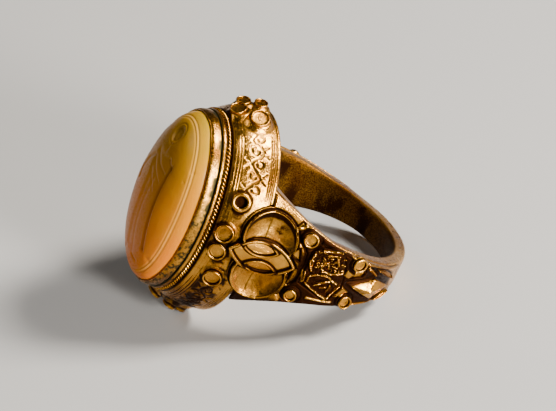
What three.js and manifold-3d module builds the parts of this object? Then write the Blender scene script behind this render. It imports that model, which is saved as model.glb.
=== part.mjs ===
// Gold signet ring set with an oval engraved cabochon. All sizes are in millimetres.
//
// Ring frame: X runs from shoulder to shoulder, Y is the finger's axis and the bezel's length,
// Z is the bezel's normal, pointing away from the finger. The last step lays the ring on its
// side, on the bezel's end and the back of the hoop, with +Z up and the floor at z = 0.
import * as THREE from 'three';
import Module from 'manifold-3d';

const wasm = await Module();
wasm.setup();

// Hoop
const FINGER_R = 9.3;
const HOOP_R = 10.8;
const HOOP_TOP_Z = 9.1;
const HALF_WIDTHS = [[-11.4, 1.45], [-9, 1.5], [-5, 2.15], [-1.2, 2.95], [0, 3.2], [2.2, 3.6],
  [5, 4.6], [7.5, 5.75], [9.5, 6.85]];

// Bezel box: half axes along X and along Y at a height. Its wall bulges and then draws in to the setting.
const BASE_Z = 9.14;
const BASE_PLATE_T = 0.42;
const DRUM_TOP_Z = 14.6;
const DRUM_X = [[BASE_Z, 8.75], [10.5, 8.58], [11.6, 8.34], [12.5, 8.04], [13.3, 7.66], [13.9, 7.28],
  [14.08, 7.12], [14.2, 6.79], [DRUM_TOP_Z, 6.74]];
const DRUM_Y = [[BASE_Z, 11.5], [10.5, 11.5], [11.6, 11.4], [12.5, 11.2], [13.3, 10.88], [13.9, 10.5],
  [14.08, 10.36], [14.2, 9.97], [DRUM_TOP_Z, 9.92]];
const DRUM_WALL = 0.6;
const SKIN = 0.03;

// Stone setting
const FLANGE_Z = [14.62, 15.16];
const RIM_Z = [15.18, 16.3];
const GEM = [6.38, 9.66];
const GEM_EDGE_Z = 16.15;
const GEM_DOME = 3.25;
const ROPE_R = 0.19;

// Shoulder ornament
const PLATE_T = 0.36;
const UNDER_PLATE = 0.07;
const PLATE_R = 11.2;
const PLATE_PATH = [[0, 11.2], [0.8, 11.16], [1.6, 11.05], [2.6, 10.83], [3.6, 10.55], [4.5, 10.27],
  [5.4, 9.99], [6.4, 9.72], [7.2, 9.53], [8, 9.37], [BASE_Z, DRUM_X[0][1] + PLATE_T + UNDER_PLATE]];
const PLATE_END_Z = -7.7;
const CIRCLE = { outer: 2.85, inner: 2.5, lobe: 3.15 };
const CIRCLES = [[2.2, 8.65], [-2.1, 8.25]];
const ALMOND = { y: -0.1, z: 8.72, half: 3.6, swell: 1.85, lobe: 0.1 };
const CRESCENTS = [{ y: 0.8, z: 9.25, half: 1.8, swell: 0.72 }, { y: -1.22, z: 8.55, half: 1.6, swell: 0.6 }];
const RECESS = 0.24;
const COLLAR_RISE = 0.24;

const gold = () => new THREE.MeshStandardMaterial({ color: 0xc8923c, metalness: 1, roughness: 0.35 });

const lerp = (a, b, t) => a + (b - a) * t;

function table(points, v) {
  const last = points.length - 1;
  if (v <= points[0][0]) return points[0][1];
  if (v >= points[last][0]) return points[last][1];
  let i = 0;
  while (v > points[i + 1][0]) i += 1;
  return lerp(points[i][1], points[i + 1][1], (v - points[i][0]) / (points[i + 1][0] - points[i][0]));
}

// Closed body from rings of points. A tube is capped with a fan at each end; a loop closes on itself.
function skin(rings, loop = false) {
  const n = rings[0].length;
  const points = rings.flat();
  const index = [];
  const spans = loop ? rings.length : rings.length - 1;
  for (let i = 0; i < spans; i += 1) {
    const a = i * n;
    const b = ((i + 1) % rings.length) * n;
    for (let j = 0; j < n; j += 1) {
      const k = (j + 1) % n;
      index.push(a + j, a + k, b + k, a + j, b + k, b + j);
    }
  }
  if (!loop) {
    for (const [ring, start, flip] of [[rings[0], 0, true], [rings.at(-1), (rings.length - 1) * n, false]]) {
      const centre = ring.reduce((sum, p) => sum.add(p), new THREE.Vector3()).divideScalar(n);
      const c = points.push(centre) - 1;
      for (let j = 0; j < n; j += 1) {
        const k = (j + 1) % n;
        if (flip) index.push(c, start + k, start + j);
        else index.push(c, start + j, start + k);
      }
    }
  }
  return outward(points, index);
}

function outward(points, index) {
  let volume = 0;
  for (let i = 0; i < index.length; i += 3) {
    const [a, b, c] = [points[index[i]], points[index[i + 1]], points[index[i + 2]]];
    volume += a.dot(b.clone().cross(c));
  }
  if (volume < 0) {
    for (let i = 0; i < index.length; i += 3) [index[i], index[i + 1]] = [index[i + 1], index[i]];
  }
  const geometry = new THREE.BufferGeometry();
  geometry.setAttribute('position', new THREE.Float32BufferAttribute(points.flatMap((p) => p.toArray()), 3));
  geometry.setIndex(index);
  geometry.computeVertexNormals();
  return geometry;
}

function toSolid(geometry) {
  return new wasm.Manifold(new wasm.Mesh({
    numProp: 3,
    vertProperties: new Float32Array(geometry.attributes.position.array),
    triVerts: new Uint32Array(geometry.index.array),
  }));
}

function fromSolid(solid) {
  const mesh = solid.getMesh();
  const geometry = new THREE.BufferGeometry();
  geometry.setAttribute('position', new THREE.Float32BufferAttribute(mesh.vertProperties, 3));
  geometry.setIndex([...mesh.triVerts]);
  geometry.computeVertexNormals();
  return geometry;
}

const ring = new THREE.Group();

function add(name, geometry, material = gold()) {
  const mesh = new THREE.Mesh(geometry, material);
  mesh.name = name;
  ring.add(mesh);
  return mesh;
}

// Half axes of the bezel box at height z, moved out by d
function drumAxes(z, d = 0) {
  return [table(DRUM_X, z) + d, table(DRUM_Y, z) + d];
}

// Oval hoop swept from a closed profile of [half axis X, half axis Y, z] corners
function ovalRing(profile, segments = 56) {
  const rings = [];
  for (let i = 0; i < segments; i += 1) {
    const angle = (i / segments) * Math.PI * 2;
    rings.push(profile(angle).map(([a, b, z]) => new THREE.Vector3(
      a * Math.cos(angle),
      b * Math.sin(angle),
      z,
    )));
  }
  return skin(rings, true);
}

// Solid oval stack from [half axis X, half axis Y, z] levels
function ovalStack(levels, segments = 56) {
  return skin(levels.map(([a, b, z]) => Array.from({ length: segments }, (_, i) => {
    const angle = (i / segments) * Math.PI * 2;
    return new THREE.Vector3(a * Math.cos(angle), b * Math.sin(angle), z);
  })));
}

// Ground of the shoulder ornament: x for a place on it, for the +X shoulder
function groundX(y, z) {
  const bow = THREE.MathUtils.clamp((z - 2) / (BASE_Z - 2), 0, 1);
  const [a, b] = drumAxes(Math.max(z, BASE_Z), PLATE_T + UNDER_PLATE);
  let level = table(PLATE_PATH, z);
  if (z > BASE_Z) level = a;
  if (z < 0) level = Math.sqrt(PLATE_R ** 2 - z ** 2);
  return level - bow * a * (1 - Math.sqrt(1 - Math.min(1, (y / b) ** 2)));
}

function ground(y, z, rise = 0) {
  const e = 0.05;
  const dy = (groundX(y + e, z) - groundX(y - e, z)) / (2 * e);
  const dz = (groundX(y, z + e) - groundX(y, z - e)) / (2 * e);
  const normal = new THREE.Vector3(1, -dy, -dz).normalize();
  return new THREE.Vector3(groundX(y, z), y, z).addScaledVector(normal, rise);
}

function groundNormal(y, z) {
  return ground(y, z, 1).sub(ground(y, z, 0));
}

// Hoop and solid shoulders: one band, narrow at the back and flaring up to the bezel
function hoopGeometry() {
  const across = 7;
  const steps = [];
  for (let i = 0; i <= 13; i += 1) steps.push(lerp(0, 1, i / 13));
  const top = Math.acos(HOOP_TOP_Z / FINGER_R);
  const side = steps.map((t) => {
    const angle = lerp(top, Math.PI / 2, t);
    const inner = [FINGER_R * Math.sin(angle), t === 0 ? HOOP_TOP_Z : FINGER_R * Math.cos(angle)];
    return { inner, z: lerp(HOOP_TOP_Z, 0, t) };
  });
  const section = ({ inner, z }) => {
    const wIn = table(HALF_WIDTHS, inner[1]);
    const wOut = table(HALF_WIDTHS, z);
    const points = [-wIn, wIn].map((y) => new THREE.Vector3(inner[0], y, inner[1]));
    for (let j = 0; j < across; j += 1) {
      const y = lerp(wOut, -wOut, j / (across - 1));
      const depth = (PLATE_T + UNDER_PLATE) / groundNormal(y, z).x;
      points.push(new THREE.Vector3(groundX(y, z) - depth, y, z));
    }
    return points;
  };
  const back = [];
  const turns = 30;
  for (let i = 1; i < turns; i += 1) {
    const angle = Math.PI / 2 + (i / turns) * Math.PI;
    const [s, c] = [Math.sin(angle), Math.cos(angle)];
    const w = table(HALF_WIDTHS, HOOP_R * c);
    const points = [-w, w].map((y) => new THREE.Vector3(FINGER_R * s, y, FINGER_R * c));
    for (let j = 0; j < across; j += 1) {
      points.push(new THREE.Vector3(HOOP_R * s, lerp(w, -w, j / (across - 1)), HOOP_R * c));
    }
    back.push(points);
  }
  const near = side.map(section);
  const far = near.map((points) => points.map((p) => new THREE.Vector3(-p.x, p.y, p.z))).reverse();
  return skin([...near, ...back, ...far]);
}

// Ornament plate: lobed at the top where it climbs the bezel box, ending in a feather edge on the hoop
function plateTop(y) {
  const tops = CIRCLES.map(([cy, cz]) => cz + Math.sqrt(Math.max(0, CIRCLE.lobe ** 2 - (y - cy) ** 2)));
  const { swell, half } = ALMOND;
  const arc = (half ** 2 + swell ** 2) / (2 * swell);
  const reach = Math.min(swell, Math.abs(y - ALMOND.y)) + arc - swell;
  tops.push(ALMOND.z + ALMOND.lobe + Math.sqrt(Math.max(0, arc ** 2 - reach ** 2)));
  return Math.max(BASE_Z + 0.12, ...tops);
}

function plateGeometry() {
  const columns = 25;
  const levels = [1, 0.45, 0, 8.2, 7, 5.7, 4.4, 3.1, 1.6, 0, -1.8, -3.6, -5.4, -6.8, PLATE_END_Z];
  const place = (i, j) => {
    const s = lerp(-1, 1, j / (columns - 1));
    const top = plateTop(s * (table(HALF_WIDTHS, 9.5) - 0.04));
    const z = i < 3 ? lerp(BASE_Z, top, levels[i]) : levels[i];
    return [s * (table(HALF_WIDTHS, z) - 0.04), z];
  };
  const rings = [];
  for (let i = 0; i < levels.length; i += 1) {
    const thin = lerp(0, PLATE_T - 0.1, THREE.MathUtils.clamp((-4 - place(i, 0)[1]) / 3.7, 0, 1));
    const outer = [];
    const inner = [];
    for (let j = 0; j < columns; j += 1) {
      const [y, z] = place(i, j);
      outer.push(ground(y, z, -thin));
      inner.unshift(ground(y, z, -PLATE_T));
    }
    rings.push([...outer, ...inner]);
  }
  return strip(rings);
}

// Closed strip whose end rings are closed by quads between its two faces
function strip(rings) {
  const n = rings[0].length;
  const points = rings.flat();
  const index = [];
  for (let i = 0; i < rings.length - 1; i += 1) {
    for (let j = 0; j < n; j += 1) {
      const k = (j + 1) % n;
      const [a, b] = [i * n, (i + 1) * n];
      index.push(a + j, a + k, b + k, a + j, b + k, b + j);
    }
  }
  for (const [start, flip] of [[0, true], [(rings.length - 1) * n, false]]) {
    for (let j = 0; j < n / 2 - 1; j += 1) {
      const [a, b, c, d] = [start + j, start + j + 1, start + n - 2 - j, start + n - 1 - j];
      if (flip) index.push(a, c, b, a, d, c);
      else index.push(a, b, c, a, c, d);
    }
  }
  return outward(points, index);
}

// Pad standing on the ornament ground inside an outline of [y, z] points
function pad(outline, low, high, scales = [0.5, 1], rise = () => 0) {
  const cy = outline.reduce((sum, p) => sum + p[0], 0) / outline.length;
  const cz = outline.reduce((sum, p) => sum + p[1], 0) / outline.length;
  const level = (scale, h) => outline.map(([y, z]) => {
    const [py, pz] = [lerp(cy, y, scale), lerp(cz, z, scale)];
    return ground(py, pz, h + (h === high ? rise(scale) : 0));
  });
  return skin([
    ...scales.map((s) => level(s, low)),
    ...scales.toReversed().map((s) => level(s, high)),
  ]);
}

function disc(y, z, r, count = 28) {
  return Array.from({ length: count }, (_, i) => {
    const angle = (i / count) * Math.PI * 2;
    return [y + r * Math.cos(angle), z + r * Math.sin(angle)];
  });
}

function collar(y, z) {
  const count = 32;
  const rings = disc(y, z, 1, count).map(([py, pz]) => {
    const [dy, dz] = [py - y, pz - z];
    const at = (r, h) => ground(y + dy * r, z + dz * r, h);
    const floor = -RECESS + SKIN;
    const foot = [at(CIRCLE.inner, floor), at(CIRCLE.outer, floor)];
    return [...foot, at(CIRCLE.outer, COLLAR_RISE), at(CIRCLE.inner, COLLAR_RISE)];
  });
  return skin(rings, true);
}

// Outline of a pointed oval lying along z, made of two arcs
function almond({ y, z, half, swell }, grow = 0, count = 28) {
  return Array.from({ length: count }, (_, i) => {
    const angle = (i / count) * Math.PI * 2;
    const along = (half + grow) * Math.cos(angle);
    const arc = (half ** 2 + swell ** 2) / (2 * swell);
    const limit = Math.min(half, Math.abs(along));
    const reach = Math.sqrt(arc ** 2 - limit ** 2) - (arc - swell) + grow;
    return [y + Math.sign(Math.sin(angle) || 1) * (i % (count / 2) === 0 ? 0 : reach), z + along];
  });
}

// Short tube with a floor, like a cell without its stone
function cell(origin, normal, radius, height) {
  const sides = 14;
  const bore = radius - 0.24;
  const floor = 0.2;
  const profile = [[radius, 0], [radius, height], [bore, height], [bore, floor]];
  const side = new THREE.Vector3(0, 0, 1).cross(normal).normalize();
  const up = normal.clone().cross(side);
  return skin(profile.map(([r, h]) => Array.from({ length: sides }, (_, i) => {
    const angle = (i / sides) * Math.PI * 2;
    return origin.clone()
      .addScaledVector(side, r * Math.cos(angle))
      .addScaledVector(up, r * Math.sin(angle))
      .addScaledVector(normal, h);
  })));
}

// Point and outward normal on the bezel box's wall, by its x or its y
function onDrum(x, y, z) {
  const [a, b] = drumAxes(z);
  const p = new THREE.Vector3(x, y, z);
  if (x === null) p.x = a * Math.sqrt(1 - (y / b) ** 2);
  else p.y = b * Math.sqrt(1 - (x / a) ** 2);
  const reach = 0.8;
  const lean = [0, 1].map((i) => (drumAxes(z - reach)[i] - drumAxes(z + reach)[i]) / (2 * reach));
  const normal = new THREE.Vector3(p.x / a ** 2, p.y / b ** 2, 0).normalize();
  normal.z = lean[0] * normal.x ** 2 + lean[1] * normal.y ** 2;
  return [p, normal.normalize()];
}

// Hoop, base and bezel box
add('hoop', hoopGeometry());
add('bezel_base_plate', ovalStack([
  [...drumAxes(BASE_Z, -0.08), BASE_Z],
  [...drumAxes(BASE_Z), BASE_Z + 0.08],
  [...drumAxes(BASE_Z + BASE_PLATE_T), BASE_Z + BASE_PLATE_T],
]));

const wallZ = [BASE_Z + BASE_PLATE_T + SKIN, 9.8, 9.95, 10.25, 10.4, 11.6, 12.5, 13.3, 13.4, 13.65, 13.75,
  14.08, 14.2, DRUM_TOP_Z];
const wallRise = [0, 0, 0.1, 0.1, 0, 0, 0, 0, 0.1, 0.1, 0, 0, 0, 0];
add('bezel_wall', ovalRing((angle) => {
  const atEnd = Math.abs(Math.sin(angle)) > 0.62 && Math.abs(Math.cos(angle)) > 0.3;
  const outer = wallZ.map((z, i) => [...drumAxes(z, atEnd ? wallRise[i] : 0), z]);
  const inner = [wallZ.at(-1), wallZ[0]].map((z) => [...drumAxes(z, -DRUM_WALL), z]);
  return [...outer, ...inner];
}));

const bedTop = FLANGE_Z[1] - 0.02;
add('bezel_filling', ovalStack([
  [...drumAxes(wallZ[0], -DRUM_WALL - 0.06), wallZ[0] + SKIN],
  [...drumAxes(DRUM_TOP_Z, -DRUM_WALL - 0.06), DRUM_TOP_Z - 0.1],
  [5.5, 8.8, DRUM_TOP_Z - 0.08],
  [5.5, 8.8, bedTop],
], 48), new THREE.MeshStandardMaterial({ color: 0x3a2b20, roughness: 0.9 }));

// Setting: flange, milled wire, rubbed-over rim and stone
add('setting_flange', ovalRing(() => [
  [5.6, 8.9, FLANGE_Z[0]],
  [6.84, 10.08, FLANGE_Z[0]],
  [6.98, 10.22, FLANGE_Z[0] + 0.2],
  [6.94, 10.18, FLANGE_Z[1] - 0.1],
  [6.82, 10.08, FLANGE_Z[1]],
  [5.6, 8.9, FLANGE_Z[1]],
]));
add('milled_wire', ovalRing(() => Array.from({ length: 6 }, (_, i) => {
  const t = (i / 6) * Math.PI * 2 + 0.3;
  return [7.03 + ROPE_R * Math.cos(t), 10.21 + ROPE_R * Math.cos(t), 14.4 + ROPE_R * Math.sin(t)];
})));
add('setting_rim', ovalRing(() => [
  [GEM[0] + 0.04, GEM[1] + 0.04, RIM_Z[0]],
  [GEM[0] + 0.42, GEM[1] + 0.42, RIM_Z[0]],
  [GEM[0] + 0.4, GEM[1] + 0.4, RIM_Z[1] - 0.3],
  [GEM[0] + 0.24, GEM[1] + 0.24, RIM_Z[1]],
  [GEM[0] + 0.04, GEM[1] + 0.04, RIM_Z[1] - 0.02],
]));

const gemLevels = [[...GEM, RIM_Z[0] + SKIN], [...GEM, GEM_EDGE_Z]];
for (const t of [0.25, 0.48, 0.68, 0.85, 0.96]) {
  const k = Math.sqrt(1 - t * t);
  gemLevels.push([GEM[0] * k, GEM[1] * k, GEM_EDGE_Z + GEM_DOME * t]);
}
const agate = new THREE.MeshStandardMaterial({ color: 0xe0982a, roughness: 0.2 });
add('intaglio_stone', ovalStack(gemLevels), agate);

// Four open cells at each end of the bezel box: [x, z, radius, height]
const END_CELLS = [[0.1, 13.1, 0.88, 0.7], [-1.75, 12.0, 0.8, 0.7], [-1.15, 10.4, 0.74, 0.8],
  [1.75, 11.4, 1.02, 0.8]];

// Open cells around the shoulder's circles, on the bezel box: [y, z, radius, height]
const BOX_CELLS = [[4.6, 12.5, 1.0, 0.55], [1.0, 13.0, 0.98, 0.5], [-1.12, 12.95, 0.92, 0.5],
  [-4.2, 12.1, 1.0, 0.55]];

// Open cells on the ornament plate: [y, z, radius, height]
const PLATE_CELLS = [[3.4, 4.7, 0.8, 0.45], [-3.15, 4.35, 0.68, 0.45], [2.35, -1.1, 0.8, 0.45],
  [-2.2, -1.25, 0.74, 0.45]];

const PANEL = [[-1.35, 3.9], [-2.35, 0.75], [-0.3, -0.2], [1.3, 0.1], [2.95, 1.2], [2.8, 3.2], [1.9, 4.2]];
const LOZENGE = [[-0.1, -0.75], [-1.55, -4.1], [0, -5.9], [0.85, -3.9]];
const LEAVES = [
  ['upper', [[1.95, -3.7], [1.8, -4.9], [1.3, -5.9], [0.72, -6.35], [1.05, -5.4], [1.45, -4.5]]],
  ['lower', [[-1.8, -4.7], [-1.5, -5.7], [-0.75, -6.5], [-0.9, -5.8], [-1.4, -5.0]]],
];

function outlined(corners, per) {
  return corners.flatMap(([y, z], i) => {
    const [ny, nz] = corners[(i + 1) % corners.length];
    return Array.from({ length: per }, (_, k) => [lerp(y, ny, k / per), lerp(z, nz, k / per)]);
  });
}

const cut = (outline, low) => toSolid(pad(outline, low, 1, [0.35, 0.7, 1]));
const circles = CIRCLES.map(([y, z]) => ({
  recess: cut(disc(y, z, CIRCLE.outer + SKIN), -RECESS),
  ring: toSolid(collar(y, z)),
}));
const almondRoom = cut(almond(ALMOND, SKIN), -RECESS);
const upperRoom = cut(disc(...CIRCLES[0], CIRCLE.outer + SKIN), -1);
const plate = fromSolid([...circles.map((c) => c.recess), almondRoom]
  .reduce((solid, room) => solid.subtract(room), toSolid(plateGeometry())));
const [upperCollar, lowerCollar] = [
  circles[0].ring.subtract(almondRoom),
  circles[1].ring.subtract(almondRoom).subtract(upperRoom),
].map(fromSolid);
const almondPad = fromSolid(CRESCENTS.reduce(
  (solid, crescent) => solid.subtract(cut(almond(crescent), 0)),
  toSolid(pad(almond(ALMOND), -RECESS + SKIN, COLLAR_RISE, [0.35, 0.7, 1])),
));

// Everything that comes in pairs is turned half a turn about Z for the other side
for (const [tag, turn] of [['a', 0], ['b', Math.PI]]) {
  const half = [];
  half.push([`shoulder_${tag}_plate`, plate.clone()]);
  half.push([`shoulder_${tag}_upper_collar`, upperCollar.clone()]);
  half.push([`shoulder_${tag}_lower_collar`, lowerCollar.clone()]);
  half.push([`shoulder_${tag}_almond`, almondPad.clone()]);
  half.push([`shoulder_${tag}_star_panel`, pad(outlined(PANEL, 4), SKIN, 0.26)]);
  const peak = (scale) => (scale < 1 ? 0.3 : 0);
  half.push([`shoulder_${tag}_lozenge`, pad(outlined(LOZENGE, 3), SKIN, 0.3, [0.3, 1], peak)]);
  for (const [word, corners] of LEAVES) {
    half.push([`shoulder_${tag}_leaf_${word}`, pad(outlined(corners, 2), SKIN, 0.3, [0.4, 1])]);
  }
  BOX_CELLS.forEach(([y, z, r, h], i) => {
    const [p, n] = onDrum(null, y, z);
    half.push([`shoulder_${tag}_box_cell_${i + 1}`, cell(p.addScaledVector(n, SKIN), n, r, h)]);
  });
  PLATE_CELLS.forEach(([y, z, r, h], i) => {
    half.push([`shoulder_${tag}_plate_cell_${i + 1}`, cell(ground(y, z, SKIN), groundNormal(y, z), r, h)]);
  });
  END_CELLS.forEach(([x, z, r, h], i) => {
    const [p, n] = onDrum(x, null, z);
    half.push([`end_${tag}_cell_${i + 1}`, cell(p.addScaledVector(n, SKIN), n, r, h)]);
  });
  for (const [name, geometry] of half) add(name, geometry.rotateZ(turn));
}

// Lay the ring down: it leans on the lowest end cell and the back edge of the hoop
const [, leanZ, leanR, leanH] = END_CELLS[2];
const leanY = onDrum(END_CELLS[2][0], null, leanZ)[0].y + leanH;
const TILT = Math.atan((leanY - HALF_WIDTHS[0][1]) / (leanZ - leanR + HOOP_R));
ring.rotation.x = Math.PI / 2 - TILT;
ring.updateMatrixWorld(true);
const box = new THREE.Box3().setFromObject(ring, true);
ring.position.set(-(box.min.x + box.max.x) / 2, -(box.min.y + box.max.y) / 2, -box.min.z);

const part = new THREE.Group();
part.name = 'signet_ring';
part.add(ring);

export default part;
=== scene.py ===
"""Looks of the signet ring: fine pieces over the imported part, worn gold, an amber stone, a pale studio."""

import math

import bpy
import numpy as np
from mathutils import Matrix, Vector


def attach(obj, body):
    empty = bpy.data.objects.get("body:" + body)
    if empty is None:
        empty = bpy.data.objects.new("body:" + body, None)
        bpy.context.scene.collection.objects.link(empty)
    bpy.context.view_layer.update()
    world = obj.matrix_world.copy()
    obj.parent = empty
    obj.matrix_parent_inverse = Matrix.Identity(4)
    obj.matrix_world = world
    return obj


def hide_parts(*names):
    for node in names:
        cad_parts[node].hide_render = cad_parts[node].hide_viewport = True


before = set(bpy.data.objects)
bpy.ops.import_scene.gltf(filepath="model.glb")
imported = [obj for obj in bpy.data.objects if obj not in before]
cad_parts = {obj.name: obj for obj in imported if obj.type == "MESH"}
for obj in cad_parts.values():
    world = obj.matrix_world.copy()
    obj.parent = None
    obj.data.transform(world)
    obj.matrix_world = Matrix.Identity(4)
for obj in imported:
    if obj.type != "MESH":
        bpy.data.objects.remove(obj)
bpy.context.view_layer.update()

MM = 0.001
TAU = 2 * math.pi

# Ring frame (mm): X from shoulder to shoulder, Y along the finger, Z out of the bezel.
# The resting ring is that frame leaned over about X and lifted on to the floor, as part.mjs does.
LIE_ANGLE = math.radians(62.289469)
LIE_SHIFT = np.array([0.0, 4.689026, 6.347485])
LIE = np.array([
    [1, 0, 0],
    [0, math.cos(LIE_ANGLE), -math.sin(LIE_ANGLE)],
    [0, math.sin(LIE_ANGLE), math.cos(LIE_ANGLE)],
])

# Hoop
FINGER_R = 9.3
HOOP_R = 10.8
HOOP_TOP_Z = 9.1
HALF_WIDTHS = [  # z, half the hoop's width along the finger
    (-11.4, 1.45), (-9, 1.5), (-5, 2.15), (-1.2, 2.95), (0, 3.2), (2.2, 3.6),
    (5, 4.6), (7.5, 5.75), (9.5, 6.85),
]
WIDEST_Z = 9.5

# Bezel box
BASE_Z = 9.14
BASE_PLATE_T = 0.42
DRUM_TOP_Z = 14.6
# z, half axis of the box's outline across the finger (X) and along it (Y)
DRUM_X = [(BASE_Z, 8.75), (10.5, 8.58), (11.6, 8.34), (12.5, 8.04), (13.3, 7.66), (13.9, 7.28),
          (14.08, 7.12), (14.2, 6.79), (DRUM_TOP_Z, 6.74)]
DRUM_Y = [(BASE_Z, 11.5), (10.5, 11.5), (11.6, 11.4), (12.5, 11.2), (13.3, 10.88), (13.9, 10.5),
          (14.08, 10.36), (14.2, 9.97), (DRUM_TOP_Z, 9.92)]
DRUM_WALL = 0.6
FRIEZE_Z = (10.3, 13.05)
FRIEZE_MID_Z = 11.65
SCROLL_PITCH = 2.75
SCROLL_SWING = 0.62
# z, depth of each line turned into the box wall, and z, width of each bead between them
WALL_LINES = [(9.75, 0.07), (9.98, 0.06), (10.2, 0.05), (13.12, 0.06), (13.36, 0.07), (13.62, 0.05)]
WALL_BEADS = [(9.86, 0.07), (10.09, 0.07), (13.24, 0.08), (13.49, 0.08)]

# Stone setting
FLANGE_Z = (14.62, 15.16)
RIM_Z = (15.18, 16.3)
GEM = (6.38, 9.66)
GEM_EDGE_Z = 16.15
GEM_DOME = 3.25
WIRE = (7.03, 10.17, 14.47)  # half axes and z of the milled wire's middle
WIRE_TURNS = 68
STRAND_R = 0.145
STRAND_OUT = 0.125
# x, y, radius, depth
STONE_CHIPS = [
    (-4.4, 6.4, 0.5, 0.16), (-5.2, 2.6, 0.45, 0.14), (3.9, -5.9, 0.35, 0.08), (4.6, 5.3, 0.2, 0.05),
]

# Shoulder ornament
PLATE_T = 0.36
UNDER_PLATE = 0.07
PLATE_R = 11.2
PLATE_PATH = [(0, 11.2), (0.8, 11.16), (1.6, 11.05), (2.6, 10.83), (3.6, 10.55), (4.5, 10.27),
              (5.4, 9.99), (6.4, 9.72), (7.2, 9.53), (8, 9.37), (BASE_Z, 8.75 + PLATE_T + UNDER_PLATE)]
PLATE_END_Z = -7.7
PLATE_MARGIN = 0.04
PLATE_LENGTH = 17
CIRCLES = [(2.2, 8.65), (-2.1, 8.25)]
CIRCLE_OUTER = 2.85
CIRCLE_INNER = 2.5
CIRCLE_LOBE = 3.15
WALL_INNER = 2.6
WALL_MID = 2.72
# For each dish: y, z from its centre, and the half axes, of each patch of painted shade
DISH_SHADE = [
    [(1.0, -0.95, 1.05, 0.95), (1.5, 0.9, 0.7, 0.8)],
    [(0.1, 0.9, 0.9, 1.0), (0.0, -0.9, 0.8, 1.0)],
]
WALL_RISE = 0.4
ALMOND = dict(y=-0.1, z=8.72, half=3.6, swell=1.85)
CRESCENTS = [dict(y=0.8, z=9.25, half=1.8, swell=0.72), dict(y=-1.22, z=8.55, half=1.6, swell=0.6)]
RECESS = 0.24
# Cells: x or y, z, radius, height
END_CELLS = [
    (0.1, 13.1, 0.88, 0.7), (-1.75, 12.0, 0.8, 0.7), (-1.15, 10.4, 0.74, 0.8), (1.75, 11.4, 1.02, 0.8),
]
END_LEANS = [(0.14, 0.88, 0.42), (0.05, 0.94, 0.3), (0.12, 0.96, 0.2), (0.46, 0.86, 0.25)]
BOX_CELLS = [
    (4.6, 12.5, 1.0, 0.55), (1.0, 13.0, 0.98, 0.5), (-1.12, 12.95, 0.92, 0.5), (-4.2, 12.1, 1.0, 0.55),
]
PLATE_CELLS = [
    (3.4, 4.7, 0.8, 0.45), (-3.15, 4.35, 0.68, 0.45), (2.35, -1.1, 0.8, 0.45), (-2.2, -1.25, 0.74, 0.45),
]
PANEL = [(-1.3, 4.05), (-2.5, 0.95), (-0.4, -0.05), (1.1, 0.2), (3.45, 1.15), (3.05, 3.2), (2.2, 4.1)]
LOZENGE = [(-0.1, -0.75), (-1.55, -4.1), (0, -5.9), (0.85, -3.9)]
RAISED = [
    [(1.5, -0.05), (0.7, 0.1), (0.5, -0.6), (1.05, -1.05)],
    [(-0.5, -0.3), (-1.95, 0.3), (-1.75, -0.5), (-0.95, -1.2)],
]
LEAVES = {
    "upper": [(1.95, -3.7), (1.8, -4.9), (1.3, -5.9), (0.72, -6.35), (1.05, -5.4), (1.45, -4.5)],
    "lower": [(-1.8, -4.7), (-1.5, -5.7), (-0.75, -6.5), (-0.9, -5.8), (-1.4, -5.0)],
}


# ---------------------------------------------------------------- numbers

def lerp(a, b, t):
    return a + (b - a) * t


def step(low, high, v):
    t = np.clip((v - low) / (high - low), 0, 1)
    return t * t * (3 - 2 * t)


def bell(d, width):
    return np.exp(-(d / width) ** 2)


def circle(count):
    return np.arange(count) / count * TAU


def grid(a, b):
    return np.meshgrid(a, b, indexing="ij")


def unit(v):
    return v / np.linalg.norm(v, axis=-1, keepdims=True)


def table(points, v):
    a = np.array(points)
    return np.interp(v, a[:, 0], a[:, 1])


def softened(points, sigma, low, high, keep_above=99.0):
    """Table of points turned into a dense curve without its corners."""
    zs = np.arange(low - 2, high + 2, 0.05)
    raw = table(points, zs)
    reach = np.arange(-40, 41) * 0.05
    kernel = np.exp(-0.5 * (reach / sigma) ** 2)
    soft = np.convolve(np.pad(raw, 40, mode="edge"), kernel / kernel.sum(), mode="valid")
    return np.stack([zs, np.where(zs > keep_above, raw, soft)], axis=1)


def lattice(ix, iy, iz, seed):
    n = (ix * 374761393 + iy * 668265263 + iz * 1274126177 + seed * 974634777) & 0xFFFFFFFF
    n = ((n ^ (n >> 13)) * 1103515245) & 0xFFFFFFFF
    return ((n ^ (n >> 16)) & 0xFFFF) / 32767.5 - 1


def noise(p, scale, seed):
    """Smooth noise from -1 to 1 at points in mm."""
    q = np.asarray(p) * scale
    cell = np.floor(q).astype(np.int64)
    f = q - cell
    w = f * f * (3 - 2 * f)
    total = 0
    for dx in (0, 1):
        for dy in (0, 1):
            for dz in (0, 1):
                corner = (dx, dy, dz)
                x, y, z = (np.where(corner[i], w[..., i], 1 - w[..., i]) for i in range(3))
                total = total + x * y * z * lattice(*(cell[..., i] + corner[i] for i in range(3)), seed)
    return total


def grain(p, scale, seed, octaves=3):
    return sum(noise(p, scale * 2 ** k, seed + k) / 2 ** k for k in range(octaves)) / 1.6


def to_segment(y, z, a, b):
    """Distance to a straight line from a to b, and how far along it."""
    ay, az = a
    by, bz = b
    t = np.clip(((y - ay) * (by - ay) + (z - az) * (bz - az)) / ((by - ay) ** 2 + (bz - az) ** 2), 0, 1)
    return np.hypot(y - lerp(ay, by, t), z - lerp(az, bz, t)), t


def to_path(y, z, points):
    return np.minimum.reduce([to_segment(y, z, a, b)[0] for a, b in zip(points, points[1:])])


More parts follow.
